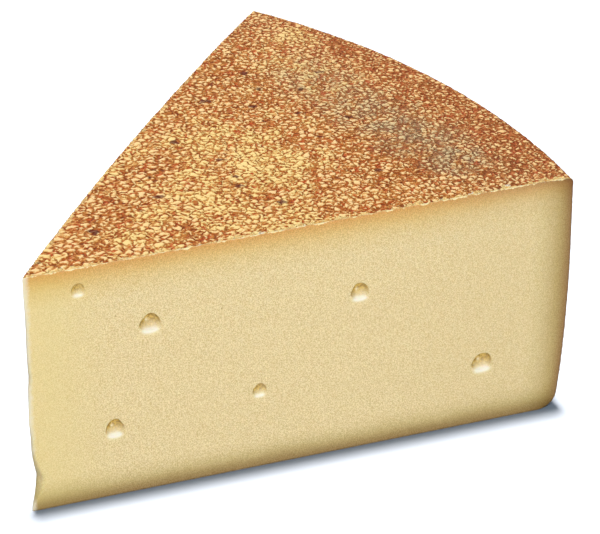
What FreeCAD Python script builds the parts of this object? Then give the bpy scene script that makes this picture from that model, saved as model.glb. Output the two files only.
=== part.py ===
"""Mountain cheese wedge: one piece cut out of a large, flat, round cheese.

Row frame, millimetres: +Z is up, +X runs along the wedge's middle line from the thin tip to the rim, and the origin is
at the middle of the footprint, on the underside. The front cut face looks towards -Y and the back cut face towards +Y.
The rind covers the top, the rim and the underside; both cut faces are bare paste with small round eyes.

The wedge is drawn in the wheel's own frame, with the wheel's axis as Z, and its Placement then moves it to the row
frame. The cheese was cut a little off its centre, so the tip lies in front of the wheel's axis.
"""

import FreeCAD, Part
import math
import os
import Sketcher

doc = FreeCAD.newDocument("MountainCheeseWedge")

# ---------------------------------------------------------------- driving sizes
SIZES = [
    # the wedge in plan
    ("cut_length", 160.3),      # tip to rim, along each cut
    ("wedge_angle", 48.3),      # degrees, between the two cuts
    ("axis_back", 41.0),        # the wheel's own axis, behind the tip
    ("back_bow", 2.3),          # how far the back cut swells at mid length
    # the wheel's section
    ("wheel_height", 77.8),
    ("shoulder_run", 19.0),     # the top starts to fall this far in from the rim
    ("shoulder_drop", 0.5),
    ("top_corner", 1.6),        # radius of the top rim edge
    ("side_turn", 57.0),        # above this height the side is plumb
    ("heel_tuck", 3.2),         # how far the foot of the side is drawn in
    ("heel_radius", 6.0),       # radius of the bottom rim edge
    ("clearance", 12.0),        # how far a cutting shape stands clear of the cheese
    # the crumbled tip: a worn edge above a ledge, and a nick near the foot
    ("chip_high", 72.5),
    ("chip_ledge", 45.8),
    ("chip_step", 1.5),
    ("chip_depth", 0.6),
    ("nick_high", 20.0),
    ("nick_mid", 11.0),
    ("nick_low", 1.2),
    ("nick_depth", 3.6),
]
# eyes in each cut face: distance from the tip, height, radius of the mouth, depth
EYES = {
    "front": [
        (15.5, 70.3, 2.0, 0.9),
        (35.8, 55.5, 3.1, 2.3),
        (97.0, 52.6, 2.7, 2.0),
        (134.3, 20.6, 3.1, 2.3),
        (67.4, 25.8, 2.1, 1.4),
        (24.8, 22.8, 2.8, 2.1),
    ],
    "back": [
        (29.0, 37.5, 2.6, 1.9),
        (52.0, 62.0, 2.0, 1.2),
        (74.5, 17.5, 3.0, 2.2),
        (103.0, 44.0, 2.7, 2.1),
        (126.5, 61.0, 2.2, 1.5),
        (139.0, 24.0, 2.5, 1.7),
    ],
}


def eye_name(side, n):
    return "%s_eye_%s" % (side, "abcdefgh"[n])


for side, eyes in EYES.items():
    for n, figures in enumerate(eyes):
        SIZES += [("%s_%s" % (eye_name(side, n), what), value)
                  for what, value in zip(("run", "high", "mouth", "deep"), figures)]

sheet = doc.addObject("Spreadsheet::Sheet", "Sizes")
for row, (alias, value) in enumerate(SIZES, 1):
    sheet.set("A%d" % row, alias)
    sheet.set("B%d" % row, repr(value))
    sheet.setAlias("B%d" % row, alias)
doc.recompute()
V = dict(SIZES)

HALF = math.radians(V["wedge_angle"] / 2)
RUN_X = V["cut_length"] * math.cos(HALF)
RUN_Y = V["cut_length"] * math.sin(HALF)
TIP = V["axis_back"]
WHEEL_R = math.hypot(TIP + RUN_X, RUN_Y)
H = V["wheel_height"]
OVER = V["clearance"]

# the same figures as expressions, for the constraints
E_HALF = "(Sizes.wedge_angle / 2 * 1deg)"
E_RUN_X = "Sizes.cut_length * cos(%s)" % E_HALF
E_RUN_Y = "Sizes.cut_length * sin(%s)" % E_HALF
E_WHEEL_R = "sqrt((Sizes.axis_back + %s)^2 + (%s)^2)" % (E_RUN_X, E_RUN_Y)

body = doc.addObject("PartDesign::Body", "CheeseWedge")
body.Label = "cheese_wedge"


def plane(role):
    return next(f for f in body.Origin.OriginFeatures if f.Role == role)


def new_sketch(name, role):
    sketch = body.newObject("Sketcher::SketchObject", name)
    sketch.AttachmentSupport = (plane(role), [""])
    sketch.MapMode = "FlatFace"
    return sketch


def bind(sketch, kind, args, value, name, expression):
    """One dimension of a sketch, named and tied to the sheet."""
    sketch.addConstraint(Sketcher.Constraint(kind, *args, value))
    sketch.renameConstraint(sketch.ConstraintCount - 1, name)
    sketch.setExpression("Constraints." + name, expression)


def point(x, y):
    return FreeCAD.Vector(x, y, 0)


def arc_between(a, b, radius, left):
    """Arc between a and b, run anticlockwise; left says on which side of a to b its centre lies."""
    half = (b - a).Length / 2
    d = (b - a).normalize()
    n = point(-d.y, d.x) if left else point(d.y, -d.x)
    centre = (a + b) * 0.5 + n * math.sqrt(radius * radius - half * half)
    first, last = (a, b) if left else (b, a)
    turn0 = math.atan2(first.y - centre.y, first.x - centre.x)
    turn1 = math.atan2(last.y - centre.y, last.x - centre.x)
    if turn1 < turn0:
        turn1 += 2 * math.pi
    return Part.ArcOfCircle(Part.Circle(centre, FreeCAD.Vector(0, 0, 1), radius), turn0, turn1)


def end_of(sketch, n, where):
    """1 for the start of a stored edge or 2 for its end, whichever lies there: a stored arc always runs anticlockwise."""
    return 1 if (sketch.Geometry[n].StartPoint - where).Length < 1e-4 else 2


def close_loop(sketch, path):
    """Joins edge n, drawn from path[n] to the next point, to the edges beside it."""
    for n in range(len(path)):
        m = (n + 1) % len(path)
        sketch.addConstraint(Sketcher.Constraint("Coincident", n, end_of(sketch, n, path[m]), m, end_of(sketch, m, path[m])))


def settle(what):
    doc.recompute()
    if "Invalid" in what.State or "Error" in what.State:
        raise SystemExit("%s failed: %s" % (what.Label, what.getStatusString()))


# ---------------------------------------------------------------- the wedge in plan, padded to the wheel's height
tip = point(TIP, 0)
front = point(TIP + RUN_X, -RUN_Y)
back = point(TIP + RUN_X, RUN_Y)
bow_radius = (V["cut_length"] ** 2 / 4 + V["back_bow"] ** 2) / (2 * V["back_bow"])

plan = new_sketch("WedgePlan", "XY_Plane")
plan.addGeometry(Part.LineSegment(tip, front), False)                  # 0 front cut
plan.addGeometry(arc_between(front, back, WHEEL_R, True), False)       # 1 rim
plan.addGeometry(arc_between(back, tip, bow_radius, True), False)      # 2 back cut
close_loop(plan, [tip, front, back])
plan.addConstraint(Sketcher.Constraint("Coincident", 1, 3, -1, 1))
plan.addConstraint(Sketcher.Constraint("PointOnObject", 0, 1, -1))
bind(plan, "DistanceX", (-1, 1, 0, 1), TIP, "tip_before_axis", "Sizes.axis_back")
bind(plan, "DistanceX", (0, 1, 0, 2), RUN_X, "cut_run_x", E_RUN_X)
bind(plan, "DistanceY", (0, 2, 0, 1), RUN_Y, "cut_run_y", E_RUN_Y)
bind(plan, "DistanceY", (0, 1, 1, 2), RUN_Y, "back_run_y", E_RUN_Y)
bind(plan, "Radius", (2,), bow_radius, "bow_radius",
     "((Sizes.cut_length^2) / 4 + Sizes.back_bow^2) / (2 * Sizes.back_bow)")
settle(plan)

pad = body.newObject("PartDesign::Pad", "WheelHeight")
pad.Profile = plan
pad.setExpression("Length", "Sizes.wheel_height")
settle(pad)

# ---------------------------------------------------------------- the rim: shoulder, plumb side and tucked heel, turned about the wheel's axis
start = point(WHEEL_R - V["shoulder_run"], H)
edge = point(WHEEL_R, H - V["shoulder_drop"])
turn = point(WHEEL_R, V["side_turn"])
foot = point(WHEEL_R - V["heel_tuck"], 0)
clear = [point(foot.x, -OVER), point(WHEEL_R + OVER, -OVER), point(WHEEL_R + OVER, H + OVER), point(start.x, H + OVER)]
# radius of an arc that leaves a straight side and drifts off it by `off` over `run`
shoulder_arc = (V["shoulder_run"] ** 2 + V["shoulder_drop"] ** 2) / (2 * V["shoulder_drop"])
heel_arc = (V["side_turn"] ** 2 + V["heel_tuck"] ** 2) / (2 * V["heel_tuck"])

rim = new_sketch("RimSection", "XZ_Plane")
rim.addGeometry(arc_between(start, edge, shoulder_arc, False), False)      # 0 shoulder
rim.addGeometry(Part.LineSegment(edge, turn), False)                       # 1 plumb side
rim.addGeometry(arc_between(turn, foot, heel_arc, False), False)           # 2 heel
path = [start, edge, turn, foot] + clear                                   # 3 to 7 go round outside the cheese
for n in range(3, 8):
    rim.addGeometry(Part.LineSegment(path[n], path[(n + 1) % 8]), False)
close_loop(rim, path)
for n in (1, 3, 5, 7):
    rim.addConstraint(Sketcher.Constraint("Vertical", n))
for n in (4, 6):
    rim.addConstraint(Sketcher.Constraint("Horizontal", n))
bind(rim, "DistanceX", (-1, 1, 1, 1), WHEEL_R, "wheel_radius", E_WHEEL_R)
bind(rim, "DistanceY", (-1, 1, 1, 1), H - V["shoulder_drop"], "edge_height", "Sizes.wheel_height - Sizes.shoulder_drop")
bind(rim, "DistanceY", (-1, 1, 1, 2), V["side_turn"], "side_turn", "Sizes.side_turn")
bind(rim, "DistanceX", (3, 1, 1, 2), V["heel_tuck"], "heel_tuck", "Sizes.heel_tuck")
bind(rim, "DistanceY", (3, 1, 1, 2), V["side_turn"], "heel_high", "Sizes.side_turn")
bind(rim, "DistanceY", (4, 1, 3, 1), OVER, "clear_below", "Sizes.clearance")
bind(rim, "DistanceX", (1, 2, 5, 1), OVER, "clear_side", "Sizes.clearance")
bind(rim, "DistanceY", (7, 2, 6, 2), OVER, "clear_top", "Sizes.clearance")
bind(rim, "DistanceX", (7, 2, 1, 1), V["shoulder_run"], "shoulder_run", "Sizes.shoulder_run")
bind(rim, "DistanceY", (-1, 1, 7, 2), H, "top_height", "Sizes.wheel_height")
bind(rim, "Radius", (0,), shoulder_arc, "shoulder_arc",
     "(Sizes.shoulder_run^2 + Sizes.shoulder_drop^2) / (2 * Sizes.shoulder_drop)")
bind(rim, "Radius", (2,), heel_arc, "heel_arc",
     "(Sizes.side_turn^2 + Sizes.heel_tuck^2) / (2 * Sizes.heel_tuck)")
settle(rim)

groove = body.newObject("PartDesign::Groove", "RimTurned")
groove.Profile = rim
groove.ReferenceAxis = (next(f for f in body.Origin.OriginFeatures if f.Role == "Z_Axis"), [""])
groove.Midplane = True      # half a turn, centred on the wedge, reaches past both cuts and leaves no seam on the rim
groove.Angle = 180.0
settle(groove)
print("plan pad %.0f mm3, after the rim is turned %.0f mm3" % (pad.Shape.Volume, groove.Shape.Volume))


def rim_edges(shape, height):
    """The long curved edges at a height that follow the rim."""
    found = []
    for n, e in enumerate(shape.Edges, 1):
        box = e.BoundBox
        if abs(box.ZMin - height) < 0.3 and abs(box.ZMax - height) < 0.3 and box.YLength > RUN_Y and box.XMax > TIP + RUN_X:
            found.append("Edge%d" % n)
    return found


top_edge = rim_edges(groove.Shape, H - V["shoulder_drop"])
soft_top = body.newObject("PartDesign::Fillet", "TopRimEdge")
soft_top.Base = (groove, top_edge)
soft_top.setExpression("Radius", "Sizes.top_corner")
settle(soft_top)
foot_edge = rim_edges(soft_top.Shape, 0.0)
soft_foot = body.newObject("PartDesign::Fillet", "HeelEdge")
soft_foot.Base = (soft_top, foot_edge)
soft_foot.setExpression("Radius", "Sizes.heel_radius")
settle(soft_foot)
print("rim edges rounded:", top_edge, foot_edge, "%.0f mm3" % soft_foot.Shape.Volume)

# ---------------------------------------------------------------- the crumbled tip
profile = [   # distance behind the tip's edge, height, and the same as expressions
    (-OVER / 4, V["chip_high"], "-Sizes.clearance / 4", "Sizes.chip_high"),
    (0.0, V["chip_high"], "0", "Sizes.chip_high"),
    (V["chip_depth"], V["chip_ledge"], "Sizes.chip_depth", "Sizes.chip_ledge"),
    (V["chip_depth"] / 2, V["chip_ledge"] - V["chip_step"], "Sizes.chip_depth / 2", "Sizes.chip_ledge - Sizes.chip_step"),
    (V["chip_depth"] / 2, V["nick_high"], "Sizes.chip_depth / 2", "Sizes.nick_high"),
    (V["nick_depth"], V["nick_mid"], "Sizes.nick_depth", "Sizes.nick_mid"),
    (0.0, V["nick_low"], "0", "Sizes.nick_low"),
    (-OVER / 4, V["nick_low"], "-Sizes.clearance / 4", "Sizes.nick_low"),
]
corners = [point(TIP + p[0], p[1]) for p in profile]
chips = new_sketch("TipChips", "XZ_Plane")
for n, p in enumerate(corners):
    chips.addGeometry(Part.LineSegment(p, corners[(n + 1) % len(corners)]), False)
close_loop(chips, corners)
for n, (back_x, z, e_x, e_z) in enumerate(profile):
    bind(chips, "DistanceX", (-1, 1, n, 1), TIP + back_x, "chip_x%d" % n, "Sizes.axis_back + %s" % e_x)
    bind(chips, "DistanceY", (-1, 1, n, 1), z, "chip_z%d" % n, e_z)
settle(chips)
chipped = body.newObject("PartDesign::Pocket", "ChippedTip")
chipped.Profile = chips
chipped.Type = "Length"
chipped.Midplane = True
chipped.setExpression("Length", "2 * Sizes.clearance")
settle(chipped)
print("tip chipped: %.1f mm3 gone" % (soft_foot.Shape.Volume - chipped.Shape.Volume))

# ---------------------------------------------------------------- eyes: round hollows in both cut faces
last = chipped
for side, eyes in EYES.items():
    for n in range(len(eyes)):
        s = "Sizes." + eye_name(side, n)
        # a ball with its centre just outside the face leaves the mouth and the depth as given
        e_ball = "((%s_mouth^2 + %s_deep^2) / (2 * %s_deep))" % (s, s, s)
        e_out = "(%s - %s_deep)" % (e_ball, s)
        if side == "back":   # the back cut swells, so its face stands further out at mid length
            e_out = "(%s + 4 * Sizes.back_bow * (%s_run / Sizes.cut_length) * (1 - %s_run / Sizes.cut_length))" % (e_out, s, s)
        eye = body.newObject("PartDesign::SubtractiveSphere", eye_name(side, n))
        eye.AttachmentSupport = (plane("XY_Plane"), [""])
        eye.MapMode = "FlatFace"
        eye.setExpression("Radius", e_ball)
        eye.setExpression("AttachmentOffset.Base.x",
                          "Sizes.axis_back + %s_run * cos(%s) - %s * sin(%s)" % (s, E_HALF, e_out, E_HALF))
        eye.setExpression("AttachmentOffset.Base.y",
                          "%s1 * (%s_run * sin(%s) + %s * cos(%s))" % ("-" if side == "front" else "", s, E_HALF, e_out, E_HALF))
        eye.setExpression("AttachmentOffset.Base.z", s + "_high")
        settle(eye)
        gone = last.Shape.Volume - eye.Shape.Volume
        print("%s: %.1f mm3 gone" % (eye_name(side, n), gone))
        if gone < 1.0:
            raise SystemExit("%s cuts nothing" % eye_name(side, n))
        last = eye

# ---------------------------------------------------------------- from the wheel's frame to the row frame
body.setExpression("Placement.Base.x", "-(%s + Sizes.axis_back) / 2" % E_WHEEL_R)
settle(body)

for obj in doc.Objects:
    if "Invalid" in obj.State or "Error" in obj.State:
        raise SystemExit("%s failed: %s" % (obj.Label, obj.State))
shape = body.Shape
if shape.isNull() or not shape.isValid() or len(shape.Solids) != 1:
    raise SystemExit("the wedge isn't one valid solid")
box = shape.optimalBoundingBox(False)
print("wheel radius %.2f mm" % WHEEL_R)
print("box x %.2f..%.2f  y %.2f..%.2f  z %.2f..%.2f" % (box.XMin, box.XMax, box.YMin, box.YMax, box.ZMin, box.ZMax))
print("volume %.4f litre" % (shape.Volume / 1e6))

os.makedirs("parts", exist_ok=True)
shape.exportStep("parts/cheese_wedge.step")
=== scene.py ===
"""Looks of the mountain cheese wedge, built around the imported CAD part. Lengths below are in millimetres until a mesh is made."""

import math

import bpy
import numpy as np
from mathutils import Matrix, Vector
from mathutils.geometry import delaunay_2d_cdt
from mathutils.kdtree import KDTree


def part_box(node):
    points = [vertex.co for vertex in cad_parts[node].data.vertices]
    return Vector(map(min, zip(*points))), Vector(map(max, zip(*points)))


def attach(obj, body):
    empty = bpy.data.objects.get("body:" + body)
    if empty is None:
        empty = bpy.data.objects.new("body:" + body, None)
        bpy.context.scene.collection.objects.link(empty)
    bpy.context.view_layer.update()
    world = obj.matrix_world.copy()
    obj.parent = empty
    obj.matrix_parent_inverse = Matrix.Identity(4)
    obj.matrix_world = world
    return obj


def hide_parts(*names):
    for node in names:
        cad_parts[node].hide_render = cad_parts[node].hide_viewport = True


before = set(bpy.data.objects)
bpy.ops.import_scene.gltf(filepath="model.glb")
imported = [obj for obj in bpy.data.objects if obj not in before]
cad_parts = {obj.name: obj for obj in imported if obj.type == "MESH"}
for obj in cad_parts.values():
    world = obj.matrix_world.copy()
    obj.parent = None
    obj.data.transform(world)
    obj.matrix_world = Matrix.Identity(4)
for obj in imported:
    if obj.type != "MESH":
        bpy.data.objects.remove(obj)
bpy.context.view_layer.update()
MM = 0.001
rng = np.random.default_rng(7)

# ---------------------------------------------------------------- the CAD's own sizes (part.py's sheet)
lo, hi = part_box("cheese_wedge")
H = hi.z / MM                       # wheel height
CUT, HALF, AXIS_BACK, BOW = 160.3, math.radians(48.3 / 2), 41.0, 2.3
RUN_X, RUN_Y = CUT * math.cos(HALF), CUT * math.sin(HALF)
WHEEL = math.hypot(AXIS_BACK + RUN_X, RUN_Y)
TIP_X = lo.x / MM
AXIS_X = TIP_X - AXIS_BACK          # the wheel's axis in the row frame
SHOULDER, DROP, TOP_R = 19.0, 0.5, 1.6
TURN_Z, TUCK, HEEL_R = 57.0, 3.2, 6.0
SHOULDER_ARC = (SHOULDER ** 2 + DROP ** 2) / (2 * DROP)
HEEL_ARC = (TURN_Z ** 2 + TUCK ** 2) / (2 * TUCK)
# centre of the rounding of the top rim edge and of the heel, as (distance inside the wheel radius, height)
TOP_C = (-TOP_R, H - SHOULDER_ARC + math.sqrt((SHOULDER_ARC - TOP_R) ** 2 - (SHOULDER - TOP_R) ** 2))
HEEL_C = (-HEEL_ARC + math.sqrt((HEEL_ARC - HEEL_R) ** 2 - (TURN_Z - HEEL_R) ** 2), HEEL_R)
TOP_A = math.acos((SHOULDER - TOP_R) / (SHOULDER_ARC - TOP_R))          # where the rounding leaves the shoulder
HEEL_A = -math.asin((TURN_Z - HEEL_R) / (HEEL_ARC - HEEL_R))            # where it leaves the heel's curve
TOP_SEAM = TOP_C[0] + TOP_R * math.cos(TOP_A)
FOOT_SEAM = HEEL_C[0]


def top_z(dr):
    """Height of the top at a distance dr from the wheel's radius (negative inside)."""
    k = np.clip(np.asarray(dr, float) + SHOULDER, 0, None)
    return H - SHOULDER_ARC + np.sqrt(SHOULDER_ARC ** 2 - k ** 2)


def rim_profile(step):
    """Points (dr, z) down the rim, from the end of the shoulder to the flat underside."""
    def arc(cx, cz, r, a0, a1):
        n = max(3, int(abs(a1 - a0) * r / step) + 1)
        a = np.linspace(a0, a1, n)
        return np.column_stack([cx + r * np.cos(a), cz + r * np.sin(a)])
    parts = [arc(TOP_C[0], TOP_C[1], TOP_R, TOP_A, 0.0)]
    n = max(2, int((TOP_C[1] - TURN_Z) / step))
    parts.append(np.column_stack([np.zeros(n), np.linspace(TOP_C[1], TURN_Z, n)])[1:])
    parts.append(arc(-HEEL_ARC, TURN_Z, HEEL_ARC, 0.0, HEEL_A)[1:])
    parts.append(arc(HEEL_C[0], HEEL_C[1], HEEL_R, HEEL_A, -math.pi / 2)[1:])
    return np.vstack(parts)


def even(points, step):
    """The same polyline with points spaced evenly, its ends kept."""
    points = np.asarray(points, float)
    seg = np.linalg.norm(np.diff(points, axis=0), axis=1)
    s = np.concatenate([[0], np.cumsum(seg)])
    n = max(2, int(round(s[-1] / step)) + 1)
    at = np.linspace(0, s[-1], n)
    return np.column_stack([np.interp(at, s, points[:, k]) for k in range(points.shape[1])])


# ---------------------------------------------------------------- the cut faces as (distance along the cut, height)
FRONT_D = np.array([math.cos(HALF), -math.sin(HALF)])
FRONT_N = np.array([-math.sin(HALF), -math.cos(HALF)])       # outward
BACK_D = np.array([math.cos(HALF), math.sin(HALF)])
BACK_N = np.array([-math.sin(HALF), math.cos(HALF)])


def cut_xy(t, side, out=0.0):
    """Plan position at t mm along a cut, `out` mm proud of it."""
    t = np.asarray(t, float)
    d, n = (FRONT_D, FRONT_N) if side == "front" else (BACK_D, BACK_N)
    swell = 0.0 if side == "front" else 4 * BOW * (t / CUT) * (1 - t / CUT)
    return np.array([TIP_X, 0.0]) + t[..., None] * d + (np.asarray(swell + out))[..., None] * n


def cut_at_radius(r, side):
    """t where a cut meets the circle of radius r about the wheel's axis."""
    r = np.asarray(r, float)
    a, b = np.zeros_like(r), np.full_like(r, CUT * 1.1)
    for _ in range(50):
        m = (a + b) / 2
        p = cut_xy(m, side) - np.array([AXIS_X, 0.0])
        inside = np.hypot(p[..., 0], p[..., 1]) < r
        a, b = np.where(inside, m, a), np.where(inside, b, m)
    return (a + b) / 2


# the crumbled tip: how far the edge is worn back at each height
CHIP = np.array([  # height, depth
    (0.0, 0.25), (1.5, 0.45), (3.5, 1.5), (5.0, 2.35), (7.0, 2.95), (9.0, 3.45), (10.2, 3.65), (11.0, 3.55), (12.4, 3.0),
    (14.6, 2.4), (17.4, 1.65), (20.5, 1.15), (24.0, 1.1), (27.0, 0.8), (29.5, 0.42), (36.0, 0.55), (41.0, 0.65), (43.2, 1.15),
    (45.0, 1.3), (46.3, 1.1), (49.0, 0.9), (53.0, 0.75), (56.0, 0.7), (61.0, 0.75), (67.0, 0.5), (70.7, 0.32),
    (73.0, 0.14), (H - 1.0, 0.12), (H, 0.35)])


def chip(z):
    return np.interp(z, CHIP[:, 0], CHIP[:, 1]) + 0.05 * np.sin(2.1 * z) + 0.04 * np.sin(4.7 * z + 1.0)


# ---------------------------------------------------------------- grids and outlines
FINE, RIM_STEP, FOOT_STEP = 0.50, 0.85, 1.5
ACROSS = 3                                  # rows of faces across the blunt tip


def hex_grid(x0, x1, y0, y1, step):
    ny = int((y1 - y0) / (step * 0.866)) + 2
    nx = int((x1 - x0) / step) + 2
    gy, gx = np.mgrid[0:ny, 0:nx]
    x = x0 + (gx + 0.5 * (gy % 2)) * step
    y = y0 + gy * step * 0.866
    p = np.column_stack([x.ravel(), y.ravel()])
    return p + rng.uniform(-0.12, 0.12, p.shape) * step


def distance_to(points, line):
    """Distance from each point to a polyline given densely as points."""
    tree = KDTree(len(line))
    for n, p in enumerate(line):
        tree.insert((p[0], p[1], 0), n)
    tree.balance()
    return np.array([tree.find((x, y, 0))[2] for x, y in points])


def inside_poly(points, poly):
    x, y = points[:, 0], points[:, 1]
    order = np.argsort(y)
    ys = y[order]
    ok = np.zeros(len(points), bool)
    for (a, b), (c, d) in zip(poly, np.roll(poly, -1, axis=0)):
        if b == d:
            continue
        k0, k1 = np.searchsorted(ys, (min(b, d), max(b, d)), side="left")
        at = order[k0:k1]
        ok[at] ^= x[at] < (c - a) * (y[at] - b) / (d - b) + a
    return ok


def fill(outline, extra):
    """Triangles over an outline (in order) and loose points inside it. Returns indices into outline + extra."""
    pts = np.vstack([outline, extra]) if len(extra) else outline
    n = len(outline)
    verts, _e, faces, ov, _oe, _of = delaunay_2d_cdt(
        [Vector((float(a), float(b))) for a, b in pts], [], [list(range(n))], 1, 1e-7, True)
    back = np.array([o[0] if len(o) else -1 for o in ov])
    tri = back[np.array([f[:3] for f in faces])]
    tri = tri[(tri >= 0).all(1)]
    a, b, c = pts[tri[:, 0]], pts[tri[:, 1]], pts[tri[:, 2]]
    area = ((b - a)[:, 0] * (c - a)[:, 1] - (b - a)[:, 1] * (c - a)[:, 0]) / 2
    rim_only = (tri < n).all(1)             # slivers outside a straight or hollow border
    keep = np.ones(len(tri), bool)
    keep[rim_only] = inside_poly((a + b + c)[rim_only] / 3, outline) & (np.abs(area[rim_only]) > 1e-5)
    tri, area = tri[keep], area[keep]
    tri[area < 0] = tri[area < 0][:, ::-1]
    return tri


class Shell:
    """One closed mesh gathered from patches that share their border points."""

    def __init__(self):
        self.co, self.tri, self.kind, self.index = [], [], [], {}

    def add(self, p):
        key = (round(p[0], 4), round(p[1], 4), round(p[2], 4))
        n = self.index.get(key)
        if n is None:
            n = self.index[key] = len(self.co)
            self.co.append(p)
        return n

    def patch(self, points3, tri, kind, flip=False):
        ids = np.array([self.add(p) for p in points3])
        t = ids[tri]
        t = t[(t[:, 0] != t[:, 1]) & (t[:, 1] != t[:, 2]) & (t[:, 0] != t[:, 2])]
        if flip:
            t = t[:, ::-1]
        self.tri.append(t)
        self.kind.append(np.full(len(t), kind))


# ---------------------------------------------------------------- shared border lines, in space
tip_z = even(np.column_stack([CHIP[:, 0], CHIP[:, 0]]), 0.5)[:, 0]
tip_w = chip(tip_z)
tip_front = np.column_stack([cut_xy(tip_w / math.cos(HALF), "front"), tip_z])
tip_back = np.column_stack([cut_xy(tip_w / math.cos(HALF), "back"), tip_z])
t_top_front = float(cut_at_radius(WHEEL + TOP_SEAM, "front"))
t_top_back = float(cut_at_radius(WHEEL + TOP_SEAM, "back"))
t_foot_front = float(cut_at_radius(WHEEL + FOOT_SEAM, "front"))
t_foot_back = float(cut_at_radius(WHEEL + FOOT_SEAM, "back"))


def edge_line(t0, t1, side, step, top):
    t = np.linspace(t0, t1, int((t1 - t0) / step) + 1)
    xy = cut_xy(t, side)
    if top:
        z = top_z(np.hypot(xy[:, 0] - AXIS_X, xy[:, 1]) - WHEEL)
    else:
        z = np.zeros(len(t))
    return t, np.column_stack([xy, z])


tf, top_front = edge_line(tip_w[-1] / math.cos(HALF), t_top_front, "front", FINE, True)
tb, top_back = edge_line(tip_w[-1] / math.cos(HALF), t_top_back, "back", FINE, True)
bf, foot_front = edge_line(tip_w[0] / math.cos(HALF), t_foot_front, "front", 1.0, False)
bb, foot_back = edge_line(tip_w[0] / math.cos(HALF), t_foot_back, "back", 1.0, False)


def ring(dr, z, step):
    r = WHEEL + dr
    a = [math.atan2(*(cut_xy(float(cut_at_radius(r, s)), s) - np.array([AXIS_X, 0.0]))[::-1]) for s in ("front", "back")]
    phi = np.linspace(a[0], a[1], int((a[1] - a[0]) * r / step) + 1)
    return phi, np.column_stack([AXIS_X + r * np.cos(phi), r * np.sin(phi), np.full(len(phi), z)])


phi_top, ring_top = ring(TOP_SEAM, float(top_z(TOP_SEAM)), FINE * 1.2)
phi_foot, ring_foot = ring(FOOT_SEAM, 0.0, 1.0)
profile = even(rim_profile(0.05), 0.7)
profile[0] = (TOP_SEAM, float(top_z(TOP_SEAM)))
profile[-1] = (FOOT_SEAM, 0.0)
rim_t = {s: cut_at_radius(WHEEL + profile[:, 0], s) for s in ("front", "back")}
rim_line = {s: np.column_stack([cut_xy(rim_t[s], s), profile[:, 1]]) for s in ("front", "back")}
# the corners where three lines meet are one and the same point
ring_top[0], ring_top[-1] = top_front[-1], top_back[-1]
rim_line["front"][0], rim_line["back"][0] = top_front[-1], top_back[-1]
rim_line["front"][-1], rim_line["back"][-1] = foot_front[-1], foot_back[-1]
ring_foot[0], ring_foot[-1] = foot_front[-1], foot_back[-1]
tip_front[0], tip_back[0] = foot_front[0], foot_back[0]
tip_front[-1], tip_back[-1] = top_front[0], top_back[0]

shell = Shell()
TOP, RIM, FOOT, FRONT, BACK, TIP = range(6)

# ---------------------------------------------------------------- top and underside, meshed in plan
for lines, step, kind in (((top_front, ring_top, top_back), FINE, TOP), ((foot_front, ring_foot, foot_back), FOOT_STEP, FOOT)):
    a, b, c = lines
    # tip, along the front, round the rim, back to the tip and across its blunt end
    end = c[0] + (a[0] - c[0]) * (np.arange(1, ACROSS) / ACROSS)[:, None]
    outline3 = np.vstack([a[:-1], b[:-1], c[::-1], end])
    outline = outline3[:, :2]
    grid = hex_grid(TIP_X, -TIP_X, -RUN_Y - 1, RUN_Y + 1, step)
    grid = grid[inside_poly(grid, outline)]
    grid = grid[distance_to(grid, outline) > step * 0.55]
    dr = np.hypot(grid[:, 0] - AXIS_X, grid[:, 1]) - WHEEL
    z = top_z(dr) if kind == TOP else np.zeros(len(grid))
    tri = fill(outline, grid)
    shell.patch(np.vstack([outline3, np.column_stack([grid, z])]), tri, kind, flip=(kind == FOOT))

# ---------------------------------------------------------------- the rim, meshed unrolled
length = np.concatenate([[0], np.cumsum(np.linalg.norm(np.diff(profile, axis=0), axis=1))])


def rim_u(p3):
    return np.arctan2(p3[:, 1], p3[:, 0] - AXIS_X) * WHEEL


outline3 = np.vstack([ring_top[:-1], rim_line["back"][:-1], ring_foot[::-1][:-1], rim_line["front"][::-1][:-1]])
outline = np.column_stack([rim_u(outline3), np.concatenate([
    np.zeros(len(ring_top) - 1), length[:-1], np.full(len(ring_foot) - 1, length[-1]), length[::-1][:-1]])])
grid = hex_grid(outline[:, 0].min(), outline[:, 0].max(), 0, length[-1], RIM_STEP)
grid = grid[inside_poly(grid, outline)]
grid = grid[distance_to(grid, outline) > RIM_STEP * 0.5]
g_dr, g_z = np.interp(grid[:, 1], length, profile[:, 0]), np.interp(grid[:, 1], length, profile[:, 1])
g_r, g_phi = WHEEL + g_dr, grid[:, 0] / WHEEL
grid3 = np.column_stack([AXIS_X + g_r * np.cos(g_phi), g_r * np.sin(g_phi), g_z])
shell.patch(np.vstack([outline3, grid3]), fill(outline, grid), RIM, flip=True)

# ---------------------------------------------------------------- the two cut faces, with their eyes
EYES = {  # distance along the cut, height, half width, half height, depth, softness of the lower lip, how three-cornered, its turn
    "front": [(15.5, 70.5, 1.9, 2.1, 1.15, 1.1, 0.03, 0.2), (35.8, 55.4, 3.0, 2.9, 2.7, 1.0, 0.085, 0.25), (97.0, 52.6, 2.6, 2.75, 2.3, 1.0, 0.05, -0.5),
              (134.3, 20.5, 3.0, 3.0, 2.6, 1.1, 0.04, 0.6), (67.4, 25.9, 2.0, 2.2, 1.4, 1.0, 0.05, 0.3), (24.8, 22.7, 2.65, 2.9, 2.3, 1.0, 0.075, -0.2)],
    "back": [(29.0, 37.5, 2.6, 2.5, 2.1, 1.0, 0.05, 0.4), (52.0, 62.0, 2.0, 1.9, 1.3, 0.9, 0.06, -0.3), (74.5, 17.5, 2.9, 3.0, 2.5, 1.0, 0.07, 0.1),
             (103.0, 44.0, 2.7, 2.6, 2.3, 1.0, 0.04, 0.9), (126.5, 61.0, 2.2, 2.1, 1.6, 0.9, 0.06, -0.6), (139.0, 24.0, 2.5, 2.6, 1.9, 1.0, 0.05, 0.5)],
}


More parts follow.
